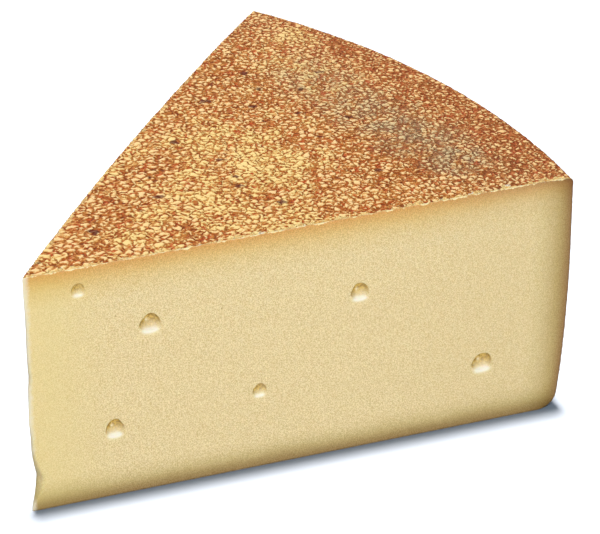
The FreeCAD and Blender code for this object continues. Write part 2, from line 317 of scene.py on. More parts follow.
def eye_round(theta, eye):
    """Outline of an eye as a share of its ellipse: a little three-cornered, with a point on top."""
    return 1 + eye[6] * np.cos(3 * (theta - math.pi / 2 + eye[7] * 0.3)) + 0.02 * np.cos(5 * theta + eye[0])


def eye_dent(t, z, eye):
    """How deep the paste is at a place because of one eye: steep under a crisp upper edge, running out softly below."""
    ct, cz, a, b, deep, soft = eye[:6]
    x, y = (t - ct) / a, (z - cz) / b
    theta = np.arctan2(y, x)
    rho = np.hypot(x, y) / eye_round(theta, eye)
    up = np.clip(0.5 + 0.5 * y / np.maximum(rho, 1e-6), 0, 1)          # 1 towards the top
    k = np.clip(rho, 0, 1)
    bowl = deep * np.clip(1 - k ** (1.9 + 1.3 * up), 0, None) ** (1.15 - 0.65 * up) * (0.86 + 0.20 * np.clip(y, -1, 1))
    speck = 0.30 * np.exp(-(((x + 0.16) ** 2 + (y - 0.02) ** 2) / 0.035)) * (deep > 2)
    lip = (0.03 + 0.26 * soft * (1 - up) ** 2) * np.exp(-np.clip(rho - 0.9, 0, None) / (0.10 + 0.30 * (1 - up))) * np.clip(rho / 0.9, 0, 1) ** 3
    return bowl - speck + lip


def eye_painted_shade_and_light(t, z, eye):
    """Painted shade in an eye: a browner ochre colour, most under its upper edge and towards its left, with a dark line
    along that edge; and painted highlight: how pale its lower lip, the lower part of its floor and a ring above its
    upper edge are, with a pale speck in its middle.
    """
    ct, cz, a, b, deep, soft = eye[:6]
    x, y = (t - ct) / a, (z - cz) / b
    rho = np.hypot(x, y) / eye_round(np.arctan2(y, x), eye)
    # painted shade: browner inside the eye, most under its upper edge and towards its left
    inside = np.clip((1.03 - rho) / 0.10, 0, 1) * np.clip((y + 0.86 - 0.20 * x * x) / 0.85, 0, 1) * min(1.0, 0.40 + deep / 3.4) * (1 - 0.40 * np.clip(x, -1, 1))
    speck = np.exp(-(((x + 0.16) ** 2 + (y - 0.02) ** 2) / 0.03)) * (deep > 2)
    # painted highlight: paler on the lower lip, in a ring above the upper edge and on the lower part of the floor
    painted_lower_lip_light = np.exp(-(x / 0.95) ** 4 - ((y + 0.90 - 0.12 * x * x) / 0.38) ** 2) * min(1.0, 0.6 + deep / 5)
    ring = 0.45 * np.exp(-((rho - 1.09) / 0.06) ** 2) * np.clip(y, 0, 1) * (deep > 2)
    painted_brink_shade = np.exp(-((rho - 0.95) / 0.075) ** 2) * np.clip((y + 0.35 - 0.25 * x) / 0.5, 0, 1) * min(1.0, 0.25 + deep / 3.2) * np.clip(0.85 - 0.6 * x, 0.3, 1.3)
    painted_floor_light = 0.34 * np.exp(-((y + 0.40) / 0.32) ** 2) * np.clip((1.05 - rho) / 0.15, 0, 1)
    return inside * (1 - speck) + painted_brink_shade, np.clip(np.maximum(np.maximum(1.15 * painted_lower_lip_light, ring), painted_floor_light), 0.7 * speck, 1)


def cut_rough(t, z, side):
    """Slow unevenness of a knife-cut face, in mm."""
    k = 0.0 if side == "front" else 2.3
    return (0.10 * np.sin(t / 17.0 + k) * np.sin(z / 23.0 + 1.1 + k) + 0.05 * np.sin(t / 6.1 + 2 * k + z / 9.0)
            + 0.035 * np.sin(z / 3.7 + 0.6 * np.sin(t / 14.0 + k)))


for side, kind in (("front", FRONT), ("back", BACK)):
    t_top, top_line = (tf, top_front) if side == "front" else (tb, top_back)
    t_foot, foot_line = (bf, foot_front) if side == "front" else (bb, foot_back)
    tip_line = tip_front if side == "front" else tip_back
    # anticlockwise seen with t to the right and z up: along the foot, up the rim, back along the top, down the tip
    outline3 = np.vstack([foot_line[:-1], rim_line[side][::-1][:-1], top_line[::-1][:-1], tip_line[::-1][:-1]])
    outline = np.column_stack([
        np.concatenate([t_foot[:-1], rim_t[side][::-1][:-1], t_top[::-1][:-1], (tip_w / math.cos(HALF))[::-1][:-1]]),
        outline3[:, 2]])
    outline[0] = (t_foot[0], 0.0)
    pts = []
    for eye in EYES[side]:
        ct, cz, a, b = eye[:4]
        pts.append([[ct, cz]])
        for f, n in ((0.2, 8), (0.4, 14), (0.58, 20), (0.72, 26), (0.83, 32), (0.905, 36), (0.955, 40), (0.99, 44), (1.03, 44),
                     (1.08, 44), (1.15, 40), (1.25, 36), (1.4, 32), (1.62, 30), (1.95, 28)):
            th = np.linspace(0, 2 * np.pi, n, endpoint=False) + f * 7
            r = f * eye_round(th, eye)
            pts.append(np.column_stack([ct + a * r * np.cos(th), cz + b * r * np.sin(th)]))
    eye_pts = np.vstack(pts)
    base = []
    rings = ((0.0, 1.6, 0.55), (1.6, 4.2, 0.95), (4.2, 999.0, 1.35))
    dense = even(np.vstack([outline, outline[:1]]), 0.35)
    taken = eye_pts
    for near, far, step in rings:
        g = hex_grid(-1, CUT + 1, 0, H, step)
        g = g[inside_poly(g, outline)]
        d = distance_to(g, dense)
        g = g[(d > max(near, step * 0.55)) & (d <= far)]
        for ct, cz, a, b in [e[:4] for e in EYES[side]]:
            g = g[np.hypot((g[:, 0] - ct) / a, (g[:, 1] - cz) / b) > 2.15]
        base.append(g)
    grid = np.vstack(base + [eye_pts[inside_poly(eye_pts, outline)]])
    dent = sum(eye_dent(grid[:, 0], grid[:, 1], e) for e in EYES[side])
    fade = np.clip(distance_to(grid, dense) / 4.0, 0, 1)
    out = cut_rough(grid[:, 0], grid[:, 1], side) * fade - dent
    grid3 = np.column_stack([cut_xy(grid[:, 0], side, out), grid[:, 1]])
    shell.patch(np.vstack([outline3, grid3]), fill(outline, grid), kind, flip=(side == "back"))

# ---------------------------------------------------------------- the blunt tip between the cuts
n = len(tip_z)
rows = [tip_front + (tip_back - tip_front) * k / ACROSS + np.array([-0.10 if 0 < k < ACROSS else 0.0, 0, 0]) for k in range(ACROSS + 1)]
rows = np.array(rows)
rows[1:-1, 0, :2] = rows[1:-1, 0, :2] + np.array([0.10, 0])
rows[1:-1, -1, :2] = rows[1:-1, -1, :2] + np.array([0.10, 0])
pts3 = rows.reshape(-1, 3)
tri = []
for k in range(ACROSS):
    for i in range(n - 1):
        p, q, r, s = k * n + i, (k + 1) * n + i, (k + 1) * n + i + 1, k * n + i + 1
        tri += [(p, s, r), (p, r, q)]
shell.patch(pts3, np.array(tri), TIP)

co = np.array(shell.co)
tri = np.vstack(shell.tri)
kind = np.concatenate(shell.kind)
mesh = bpy.data.meshes.new("cheese")
mesh.from_pydata((co * MM).tolist(), [], tri.tolist())
mesh.validate()
cheese = bpy.data.objects.new("cheese", mesh)
bpy.context.scene.collection.objects.link(cheese)
print("cheese: %d points, %d triangles" % (len(mesh.vertices), len(mesh.polygons)), {k: int((kind == k).sum()) for k in range(6)})
edges = np.sort(np.vstack([tri[:, [0, 1]], tri[:, [1, 2]], tri[:, [2, 0]]]), axis=1)
_, times = np.unique(edges, axis=0, return_counts=True)
print("open or crowded edges:", int((times != 2).sum()))
if len(mesh.polygons) == len(kind):
    mesh.polygons.foreach_set("material_index", (kind >= FRONT).astype(np.int32))
mesh.polygons.foreach_set("use_smooth", np.ones(len(mesh.polygons), bool))
rind, paste = bpy.data.materials.new("washed_rind"), bpy.data.materials.new("cut_paste")
mesh.materials.append(rind)
mesh.materials.append(paste)

# ---------------------------------------------------------------- attributes: where each point was cut or grown, where relief goes, and the eyes' painted shade and painted highlight
on_rind = np.zeros(len(co))
on_cut = np.zeros(len(co))
for k in (TOP, RIM, FOOT):
    on_rind[tri[kind == k].ravel()] = 1
for k in (FRONT, BACK, TIP):
    on_cut[tri[kind == k].ravel()] = 1
from_rim = WHEEL - np.hypot(co[:, 0] - AXIS_X, co[:, 1])
relief = on_rind * np.where(on_cut > 0, 0.55, 1.0) * np.where(co[:, 2] < 0.5, 0.0, np.clip(co[:, 2] / 4.0, 0.25, 1))
relief *= np.clip(0.40 + from_rim / 12.0, 0.40, 1.0)         # calmer round the rim and its upper edge


def attribute(me, name, kind_, values):
    att = me.attributes.new(name, kind_, "POINT")
    att.data.foreach_set("vector" if kind_ == "FLOAT_VECTOR" else "value", np.ascontiguousarray(values, np.float32).ravel())


# painted shade inside the eyes and painted highlight on their lower lips and floors, per point of the cut faces
painted_eye_shade, painted_eye_light = np.zeros(len(co)), np.zeros(len(co))
for side, k, d in (("front", FRONT, FRONT_D), ("back", BACK, BACK_D)):
    at = np.unique(tri[kind == k])
    t = (co[at, :2] - np.array([TIP_X, 0.0])) @ d
    tints = [eye_painted_shade_and_light(t, co[at, 2], e) for e in EYES[side]]
    painted_eye_shade[at] = sum(i for i, _l in tints)
    painted_eye_light[at] = sum(l for _i, l in tints)
attribute(mesh, "rest", "FLOAT_VECTOR", co)          # in millimetres
attribute(mesh, "relief", "FLOAT", relief)
# the eyes' painted shade, and under the name lip their painted highlight
attribute(mesh, "painted_eye_shade", "FLOAT", painted_eye_shade)
attribute(mesh, "lip", "FLOAT", painted_eye_light)


# ---------------------------------------------------------------- node building, the same for a material and for the relief
class Nodes:
    """Short calls that add nodes to a tree and return their output."""

    def __init__(self, tree):
        self.tree = tree

    def node(self, what, **props):
        n = self.tree.nodes.new(what)
        for k, v in props.items():
            setattr(n, k, v)
        return n

    def set(self, socket, value):
        if isinstance(value, bpy.types.NodeSocket):
            self.tree.links.new(value, socket)
        else:
            socket.default_value = value

    def m(self, op, *args, clamp=False):
        n = self.node("ShaderNodeMath", operation=op, use_clamp=clamp)
        for k, v in enumerate(args):
            self.set(n.inputs[k], v)
        return n.outputs[0]

    def v(self, op, *args):
        n = self.node("ShaderNodeVectorMath", operation=op)
        for k, v in enumerate(args):
            self.set(n.inputs[3] if op == "SCALE" and k == 1 else n.inputs[k], v)
        return n.outputs["Value" if op in ("DOT_PRODUCT", "LENGTH", "DISTANCE") else "Vector"]

    def noise(self, p, cell, detail=0.0, rough=0.5, distort=0.0, colour=False, offset=None):
        if offset is not None:
            p = self.v("ADD", p, offset)
        n = self.node("ShaderNodeTexNoise", noise_dimensions="3D")
        n.normalize = True
        self.set(n.inputs["Vector"], p)
        n.inputs["Scale"].default_value = 1.0 / cell
        n.inputs["Detail"].default_value = detail
        n.inputs["Roughness"].default_value = rough
        n.inputs["Distortion"].default_value = distort
        return n.outputs["Color" if colour else "Fac"]

    def cells(self, p, cell, feature="F1", out="Distance", random=1.0, smooth=None):
        n = self.node("ShaderNodeTexVoronoi", voronoi_dimensions="3D", feature=feature)
        self.set(n.inputs["Vector"], p)
        n.inputs["Scale"].default_value = 1.0 / cell
        n.inputs["Randomness"].default_value = random
        if smooth is not None:
            n.inputs["Smoothness"].default_value = smooth
        return n.outputs[out]

    def step(self, x, a, b, lo_=0.0, hi_=1.0, smooth=True):
        """x from a to b becomes lo_ to hi_."""
        n = self.node("ShaderNodeMapRange", interpolation_type="SMOOTHSTEP" if smooth else "LINEAR")
        n.clamp = True
        for k, v in enumerate((x, a, b, lo_, hi_)):
            self.set(n.inputs[k], v)
        return n.outputs[0]

    def mix(self, fac, a, b):
        n = self.node("ShaderNodeMix", data_type="RGBA", clamp_factor=True)
        self.set(n.inputs["Factor"], fac)
        self.set(n.inputs[6], a)
        self.set(n.inputs[7], b)
        return n.outputs[2]

    def blendc(self, kind_, fac, a, b):
        n = self.node("ShaderNodeMix", data_type="RGBA", blend_type=kind_, clamp_factor=True)
        self.set(n.inputs["Factor"], fac)
        self.set(n.inputs[6], a)
        self.set(n.inputs[7], b)
        return n.outputs[2]

    def mixf(self, fac, a, b):
        n = self.node("ShaderNodeMix", data_type="FLOAT", clamp_factor=True)
        self.set(n.inputs["Factor"], fac)
        self.set(n.inputs[2], a)
        self.set(n.inputs[3], b)
        return n.outputs[0]

    def ramp(self, fac, stops):
        n = self.node("ShaderNodeValToRGB")
        self.set(n.inputs[0], fac)
        e = n.color_ramp.elements
        while len(e) > 1:
            e.remove(e[-1])
        e[0].position, e[0].color = stops[0]
        for pos, colour in stops[1:]:
            x = e.new(pos)
            x.color = colour
        return n.outputs[0]


def srgb(r, g, b):
    def lin(c):
        c = c / 255.0
        return c / 12.92 if c <= 0.04045 else ((c + 0.055) / 1.055) ** 2.4
    return (lin(r), lin(g), lin(b), 1.0)


def wheel_radius(N, p):
    """Distance of a place from the wheel's axis, in mm, less the wheel's radius."""
    q = N.v("MULTIPLY", N.v("SUBTRACT", p, (AXIS_X, 0, 0)), (1, 1, 0))
    return N.m("SUBTRACT", N.v("LENGTH", q), WHEEL)


def cut_depths(N, p):
    """Distances of a place inside the front and the back cut, in mm."""
    q = N.v("SUBTRACT", p, (TIP_X, 0, 0))
    front = N.m("MULTIPLY", N.v("DOT_PRODUCT", q, (*FRONT_N, 0)), -1.0)
    t = N.m("DIVIDE", N.v("DOT_PRODUCT", q, (*BACK_D, 0)), CUT)
    bow = N.m("MULTIPLY", N.m("MULTIPLY", t, N.m("SUBTRACT", 1.0, t)), 4 * BOW)
    return front, N.m("SUBTRACT", bow, N.v("DOT_PRODUCT", q, (*BACK_N, 0)))


# where the top is paler and yellower (+) or browner (-): plan position, radius, amount
PATCHES = [(-19, -1, 14, 0.50), (-14, -27, 11, 0.30), (-36, -10, 8, -0.20), (8, 20, 12, 0.30), (9, -5, 15, 0.66), (62, 44, 10, 0.75),
           (30, 50, 13, -0.45), (20, 37, 5, -0.55), (-50, 6, 5, -0.40), (-22, 13, 8, -0.55), (24, 12, 10, 0.55), (38, 12, 6, -0.25),
           (66, 8, 9, 0.15), (62, -45, 11, -0.30), (38, -25, 15, -0.28), (53, 30, 9, 0.35)]
# small dark marks on the top: plan position and radius
MARKS = [(20, 35.5, 1.1), (39, 39.5, 0.8), (30.5, -1.5, 0.8), (35, 12, 0.7), (-4, -5.5, 0.9), (-24.5, 6, 1.0), (-49.5, 4.5, 1.2),
         (-2, 24.5, 1.0), (1.5, 8.5, 0.8), (-1.5, -1, 0.7), (-1.5, -19.5, 0.9), (55.5, 25, 1.0), (28, 24, 0.7), (44, 1, 0.9), (30, -26, 0.9)]
GRAIN = Vector((0.728, -0.686, 0.0))         # the way the rind's wrinkles run
LONG = 0.80                                  # how much finer they are across it


def rind_places(N, p):
    """Slow changes over the rind: share of pale (about -1..1) and distance from the rim."""
    dr = wheel_radius(N, p)
    a = N.m("SUBTRACT", N.noise(p, 19.0, 1.0, 0.5, offset=(13, 5, 2)), 0.5)
    b = N.m("SUBTRACT", N.noise(p, 6.0, 1.0, 0.5, offset=(3, 45, 9)), 0.5)
    share = N.m("ADD", N.m("MULTIPLY", a, 1.4), N.m("MULTIPLY", b, 1.9))
    share = N.m("ADD", share, N.step(N.v("DOT_PRODUCT", p, (1, 0, 0)), 36.0, 2.0, 0.0, 0.34))      # paler towards the tip
    bent = N.v("ADD", N.v("MULTIPLY", p, (1, 1, 0)), N.v("SCALE", N.v("SUBTRACT", N.noise(p, 9.0, 2.0, 0.6, colour=True), (0.5, 0.5, 0.5)), 16.0))
    for x, y, radius, amount in PATCHES:
        d = N.v("LENGTH", N.v("SUBTRACT", bent, (x, y, 0)))
        share = N.m("ADD", share, N.step(d, radius * 1.4, radius * 0.4, 0.0, amount))
    share = N.m("SUBTRACT", share, N.step(dr, -26.0, -6.0, 0.0, 0.22))
    side = N.step(N.v("DOT_PRODUCT", p, (0, 0, 1)), H - 3.0, H - 15.0)          # the rim is browner, in broad drifts
    cloud = N.m("SUBTRACT", N.noise(N.v("MULTIPLY", p, (1, 1, 1.7)), 27.0, 2.0, 0.55, offset=(40, 11, 6)), 0.56)
    share = N.m("ADD", share, N.m("MULTIPLY", side, N.m("MULTIPLY", cloud, 3.2)))
    return share, dr


def rind_pattern(N, p):
    """The pale flecks and short worms, and the cracks between them. Returns (n, height, fine, share, dr)."""
    share, dr = rind_places(N, p)
    below = N.m("SUBTRACT", N.v("DOT_PRODUCT", p, (0, 0, 1)), H)
    p = N.v("SCALE", p, N.m("ADD", N.m("MULTIPLY", N.v("DOT_PRODUCT", p, (1, 0, 0)), 0.0016), 1.08))     # finer towards the rim
    run = N.v("SCALE", tuple(GRAIN), N.m("MULTIPLY", N.v("DOT_PRODUCT", p, tuple(GRAIN)), LONG - 1.0))
    run = N.v("ADD", run, N.v("SCALE", (0, 0, 1), N.m("MULTIPLY", below, 0.30)))      # on the side they lie along the rim
    warp = N.v("SUBTRACT", N.noise(p, 2.0, 1.0, 0.5, colour=True), (0.5, 0.5, 0.5))
    q = N.v("ADD", N.v("ADD", p, run), N.v("SCALE", warp, 1.8))
    e = N.m("SUBTRACT", N.m("MULTIPLY", N.cells(q, 1.85, "DISTANCE_TO_EDGE"), 4.8), 0.60)      # -0.5 in a crack, about 1 inside
    b = N.m("MULTIPLY", N.m("SUBTRACT", N.noise(q, 0.86, 1.0, 0.4, offset=(7, 3, 1)), 0.5), 4.8)   # about -1..1
    n = N.m("ADD", N.m("MULTIPLY", e, 0.78), N.m("MULTIPLY", b, 0.50))
    n = N.m("ADD", N.m("SUBTRACT", n, 0.03), N.m("MULTIPLY", share, 0.26))
    fine = N.noise(q, 0.62, 2.0, 0.6, offset=(1, 9, 4))
    top = N.step(n, -0.70, 0.70)
    height = N.m("ADD", N.m("MULTIPLY", top, 0.88), N.m("MULTIPLY", fine, 0.22))
    return n, height, fine, share, dr


# ---------------------------------------------------------------- real relief on the rind
RELIEF = 0.40      # mm from the bottom of a crack to the top of an island
tree = bpy.data.node_groups.new("rind_relief", "GeometryNodeTree")
tree.interface.new_socket("Geometry", in_out="INPUT", socket_type="NodeSocketGeometry")
tree.interface.new_socket("Geometry", in_out="OUTPUT", socket_type="NodeSocketGeometry")
N = Nodes(tree)
gin, gout = N.node("NodeGroupInput"), N.node("NodeGroupOutput")
rest = N.node("GeometryNodeInputNamedAttribute", data_type="FLOAT_VECTOR")
rest.inputs["Name"].default_value = "rest"
amount = N.node("GeometryNodeInputNamedAttribute", data_type="FLOAT")
amount.inputs["Name"].default_value = "relief"
_n, height, _fine, _share, _dr = rind_pattern(N, rest.outputs["Attribute"])
lumps = N.m("SUBTRACT", N.noise(rest.outputs["Attribute"], 15.0, 1.0, 0.5), 0.5)
lift = N.m("ADD", N.m("MULTIPLY", N.m("SUBTRACT", height, 0.62), RELIEF), N.m("MULTIPLY", lumps, 0.5))
lift = N.m("MULTIPLY", N.m("MULTIPLY", lift, amount.outputs["Attribute"]), MM)
move = N.node("GeometryNodeSetPosition")
N.set(move.inputs["Geometry"], gin.outputs[0])
N.set(move.inputs["Offset"], N.v("SCALE", N.node("GeometryNodeInputNormal").outputs["Normal"], lift))
N.set(gout.inputs[0], move.outputs[0])
mod = cheese.modifiers.new("relief", "NODES")
mod.node_group = tree
depsgraph = bpy.context.evaluated_depsgraph_get()
done = bpy.data.meshes.new_from_object(cheese.evaluated_get(depsgraph), depsgraph=depsgraph)
cheese.modifiers.clear()
cheese.data = done
done.name = "cheese"

# ---------------------------------------------------------------- materials
def nodes_of(m):
    m.use_nodes = True
    N = Nodes(m.node_tree)
    bsdf = m.node_tree.nodes["Principled BSDF"]
    att = N.node("ShaderNodeAttribute", attribute_type="GEOMETRY", attribute_name="rest")
    return N, bsdf, att.outputs["Vector"]


def bump(N, height, distance, strength=1.0):
    n = N.node("ShaderNodeBump")
    N.set(n.inputs["Height"], height)
    n.inputs["Distance"].default_value = distance * MM
    n.inputs["Strength"].default_value = strength
    return n.outputs["Normal"]


N, bsdf, p = nodes_of(rind)
n, height, fine, share, dr = rind_pattern(N, p)
rim_red = N.step(dr, -30.0, -6.0)
yellow = N.step(share, 0.10, 0.90)
brown = N.step(share, -0.25, -0.95)
slow = N.step(N.noise(p, 3.4, 2.0, 0.6, offset=(2, 2, 8)), 0.36, 0.64)
quick = N.step(N.noise(p, 1.9, 1.0, 0.6, offset=(6, 1, 3)), 0.36, 0.64)
flush = N.step(N.noise(p, 2.6, 2.0, 0.6, offset=(12, 7, 5)), 0.50, 0.66)
crack = N.mix(slow, srgb(118, 56, 20), srgb(142, 82, 32))
ground = N.mix(slow, srgb(176, 90, 32), srgb(200, 126, 58))
ground = N.mix(N.m("MULTIPLY", flush, 0.8), ground, srgb(204, 86, 38))
ground = N.mix(N.m("MULTIPLY", rim_red, 0.5), ground, srgb(182, 94, 58))
body = N.mix(quick, srgb(223, 146, 76), srgb(240, 178, 104))
body = N.mix(N.m("MULTIPLY", flush, 0.35), body, srgb(214, 124, 66))
body = N.mix(N.m("MULTIPLY", rim_red, 0.55), body, srgb(220, 152, 92))
body = N.mix(N.m("MULTIPLY", brown, 0.6), body, srgb(186, 112, 56))
body = N.mix(N.m("MULTIPLY", yellow, 0.7), body, srgb(242, 194, 108))
tops = N.mix(yellow, srgb(255, 215, 152), srgb(255, 221, 145))
tops = N.mix(N.m("MULTIPLY", rim_red, 0.50), tops, srgb(248, 204, 138))
side = N.step(N.v("DOT_PRODUCT", p, (0, 0, 1)), H - 3.0, H - 15.0)
body = N.mix(N.m("MULTIPLY", side, 0.45), body, srgb(206, 132, 74))
tops = N.mix(N.m("MULTIPLY", side, 0.60), tops, srgb(228, 172, 108))
colour = N.mix(N.step(n, -0.74, -0.42), crack, ground)
colour = N.mix(N.step(n, -0.26, 0.14), colour, body)
colour = N.mix(N.step(N.m("ADD", n, N.m("MULTIPLY", N.m("SUBTRACT", fine, 0.5), 0.5)), 0.10, 0.42), colour, tops)

# grey-green mould in a loose band in from the rim, fading towards the back cut
sep = N.node("ShaderNodeSeparateXYZ")
N.set(sep.inputs[0], p)
y = sep.outputs["Y"]
bend = N.m("MULTIPLY", N.m("SUBTRACT", N.noise(p, 11.0, 2.0, 0.6, offset=(1, 7, 30)), 0.5), 12.0)
band = N.step(N.m("ABSOLUTE", N.m("ADD", N.m("SUBTRACT", sep.outputs["X"], 50.5), bend)), 17.0, 2.0)
band = N.m("MULTIPLY", N.m("MULTIPLY", band, N.step(y, 14.0, -14.0, 0.55, 1.0)), N.m("MULTIPLY", N.step(y, 46.0, 26.0), N.step(y, -50.0, -38.0, 0.25, 1.0)))
blot = N.step(N.noise(p, 6.0, 3.0, 0.6, offset=(31, 2, 17)), 0.36, 0.58)
speck = N.step(N.noise(p, 0.8, 2.0, 0.6, offset=(4, 4, 4)), 0.28, 0.62)
mould = N.m("MULTIPLY", N.m("MULTIPLY", band, N.m("ADD", 0.3, N.m("MULTIPLY", blot, 0.7))), N.m("ADD", 0.55, N.m("MULTIPLY", speck, 0.45)))
grey = N.mix(N.step(n, -0.55, 0.45), srgb(132, 98, 70), srgb(204, 186, 144))
colour = N.mix(N.m("MULTIPLY", mould, 0.80), colour, grey)

# a few dark specks
dot = N.cells(N.v("ADD", p, (3, 8, 5)), 8.0, "F1")
dark = N.m("MULTIPLY", N.step(N.m("ADD", dot, N.m("MULTIPLY", fine, 0.10)), 0.19, 0.11), N.step(N.noise(p, 10.0, 1.0, 0.5, offset=(8, 0, 3)), 0.46, 0.54))
colour = N.mix(N.m("MULTIPLY", dark, 0.8), colour, srgb(84, 38, 28))
drift = N.v("SCALE", N.v("SUBTRACT", N.noise(p, 1.6, 1.0, 0.6, colour=True, offset=(5, 1, 8)), (0.5, 0.5, 0.5)), 2.6)
q = N.v("MULTIPLY", N.v("ADD", p, drift), (1, 1, 0))
q = N.v("ADD", q, N.v("SCALE", tuple(GRAIN), N.m("MULTIPLY", N.v("DOT_PRODUCT", q, tuple(GRAIN)), -0.45)))      # longer along the wrinkles
marked = 0.0
for a, b, radius in MARKS:
    at = Vector((a, b, 0.0))
    at = at - GRAIN * at.dot(GRAIN) * 0.45
    marked = N.m("MAXIMUM", marked, N.step(N.v("LENGTH", N.v("SUBTRACT", q, tuple(at))), radius * 1.15, radius * 0.55))
marked = N.m("MULTIPLY", marked, N.step(sep.outputs["Z"], 60.0, 70.0, 0.0, 0.85))
colour = N.mix(marked, colour, srgb(104, 46, 36))

# cream crumbs along the cut edges
front_edge, back_edge = cut_depths(N, p)
ragged = N.step(N.noise(p, 3.4, 3.0, 0.68, offset=(9, 9, 1)), 0.38, 0.66, 0.1, 2.1)
crumb = N.step(N.m("SUBTRACT", front_edge, ragged), 0.15, -0.25)
crumb = N.m("MAXIMUM", crumb, N.m("MULTIPLY", N.step(N.m("SUBTRACT", back_edge, ragged), -0.6, -1.0), 0.7))
chalk = N.step(N.noise(p, 3.4, 2.0, 0.6, offset=(19, 5, 1)), 0.60, 0.68)
pale = N.mix(N.step(fine, 0.3, 0.6), srgb(236, 182, 98), srgb(254, 226, 154))
pale = N.mix(chalk, pale, srgb(240, 228, 200))
colour = N.mix(N.m("MULTIPLY", crumb, 0.9), colour, pale)
N.set(bsdf.inputs["Base Color"], colour)
bsdf.inputs["Roughness"].default_value = 0.6
bsdf.inputs["Specular IOR Level"].default_value = 0.05
N.set(bsdf.inputs["Normal"], bump(N, height, 0.58, 1.0))

N, bsdf, p = nodes_of(paste)
sep = N.node("ShaderNodeSeparateXYZ")
N.set(sep.inputs[0], p)
x, z = sep.outputs["X"], sep.outputs["Z"]
dr = wheel_radius(N, p)
k = N.m("MAXIMUM", N.m("ADD", dr, SHOULDER), 0.0)
d_top = N.m("SUBTRACT", N.m("SUBTRACT", H, N.m("DIVIDE", N.m("MULTIPLY", k, k), 2 * SHOULDER_ARC)), z)
k = N.m("MAXIMUM", N.m("SUBTRACT", TURN_Z, z), 0.0)
d_rim = N.m("SUBTRACT", N.m("MULTIPLY", dr, -1.0), N.m("DIVIDE", N.m("MULTIPLY", k, k), 2 * HEEL_ARC))
slow = N.m("SUBTRACT", N.noise(p, 14.0, 2.0, 0.5, offset=(3, 3, 3)), 0.5)
quick = N.m("SUBTRACT", N.noise(p, 1.2, 2.0, 0.6, offset=(5, 3, 7)), 0.5)
wobble = N.m("ADD", N.m("MULTIPLY", slow, 2.0), N.m("MULTIPLY", quick, 0.6))
BASE = (233, 212, 161)


def toned(depth, stops):
    """Colour of the paste near a rind, as a share of its own colour."""
    base = srgb(*BASE)
    out = [(d / 16.0, tuple(min(c / b, 1.0) for c, b in zip(srgb(*rgb)[:3], base)) + (1.0,)) for d, rgb in stops]
    scaled = N.m("DIVIDE", N.m("ADD", depth, N.m("MULTIPLY", wobble, N.step(depth, 0.0, 4.0))), 16.0)
    return N.ramp(scaled, out)


near_top = toned(d_top, [(0.0, (220, 162, 94)), (0.4, (217, 164, 93)), (1.2, (219, 173, 100)), (2.3, (222, 181, 110)), (3.8, (226, 192, 124)),
                         (6.0, (228, 201, 140)), (9.0, (231, 208, 153)), (12.5, BASE)])
browner = toned(d_top, [(0.0, (184, 140, 88)), (0.6, (196, 152, 96)), (1.6, (208, 166, 106)), (3.0, (218, 182, 120)), (4.6, (223, 194, 136)),
                        (7.0, (227, 203, 150)), (10.0, (231, 209, 156)), (13.0, BASE)])
near_top = N.mix(N.step(x, 18.0, 62.0), near_top, browner)
near_foot = toned(z, [(0.0, (182, 146, 94)), (0.7, (172, 142, 92)), (1.8, (178, 152, 99)), (3.0, (194, 170, 114)), (4.6, (211, 190, 134)),
                      (7.0, (226, 205, 152)), (9.5, BASE)])
near_rim = toned(d_rim, [(0.0, (146, 104, 62)), (0.4, (156, 122, 78)), (1.2, (168, 136, 85)), (2.4, (182, 156, 100)), (3.8, (197, 173, 115)),
                         (5.8, (212, 190, 136)), (8.6, (225, 205, 152)), (12.0, BASE)])
grain = N.noise(p, 0.30, 1.0, 0.7)
colour = N.mix(N.step(grain, 0.34, 0.66), srgb(214, 189, 131), srgb(249, 229, 180))
# painted light: the paste yellower and a little lighter towards the tip
painted_tip_light = N.step(x, TIP_X + 2.0, TIP_X + 26.0, 1.0, 0.0)
colour = N.mix(N.m("MULTIPLY", painted_tip_light, 0.55), colour, srgb(236, 216, 146))
colour = N.mix(N.step(x, 0.0, 70.0, 0.0, 0.30), colour, srgb(216, 194, 140))
for tone in (near_top, near_foot, near_rim):
    colour = N.blendc("MULTIPLY", 1.0, colour, tone)
pit = N.cells(p, 13.0, "F1")
colour = N.mix(N.step(pit, 0.028, 0.012, 0.0, 0.7), colour, srgb(176, 142, 88))
# painted shade in the eyes: browner ochre inside, darkest brown under their upper edge; painted highlight: pale cream
# on their lower lips and floors (the attribute lip)
eye = N.node("ShaderNodeAttribute", attribute_type="GEOMETRY", attribute_name="painted_eye_shade").outputs["Fac"]
lip = N.node("ShaderNodeAttribute", attribute_type="GEOMETRY", attribute_name="lip").outputs["Fac"]
mottle = N.step(N.noise(p, 0.8, 2.0, 0.6, offset=(1, 5, 2)), 0.35, 0.65)
colour = N.mix(N.m("MULTIPLY", eye, 0.95), colour, N.mix(mottle, srgb(152, 114, 34), srgb(214, 178, 82)))
colour = N.mix(N.step(eye, 0.95, 1.9), colour, srgb(84, 56, 20))
colour = N.mix(N.m("MULTIPLY", lip, 0.88), colour, N.mix(N.step(lip, 0.12, 0.95, smooth=False), srgb(243, 224, 160), srgb(255, 249, 228)))
worn = N.m("SUBTRACT", x, N.m("MULTIPLY", N.noise(p, 2.2, 2.0, 0.6, offset=(5, 5, 5)), 1.6))
colour = N.mix(N.step(worn, TIP_X + 1.1, TIP_X - 0.3, 0.0, 0.75), colour, srgb(240, 230, 204))
line = N.step(N.m("SUBTRACT", d_top, N.step(N.noise(p, 3.0, 3.0, 0.68, offset=(2, 8, 1)), 0.42, 0.68, 0.0, 0.7)), 0.12, -0.15)
colour = N.mix(line, colour, srgb(252, 230, 172))
N.set(bsdf.inputs["Base Color"], colour)
bsdf.inputs["Roughness"].default_value = 0.5
bsdf.inputs["Specular IOR Level"].default_value = 0.4
bsdf.inputs["Subsurface Weight"].default_value = 0.25
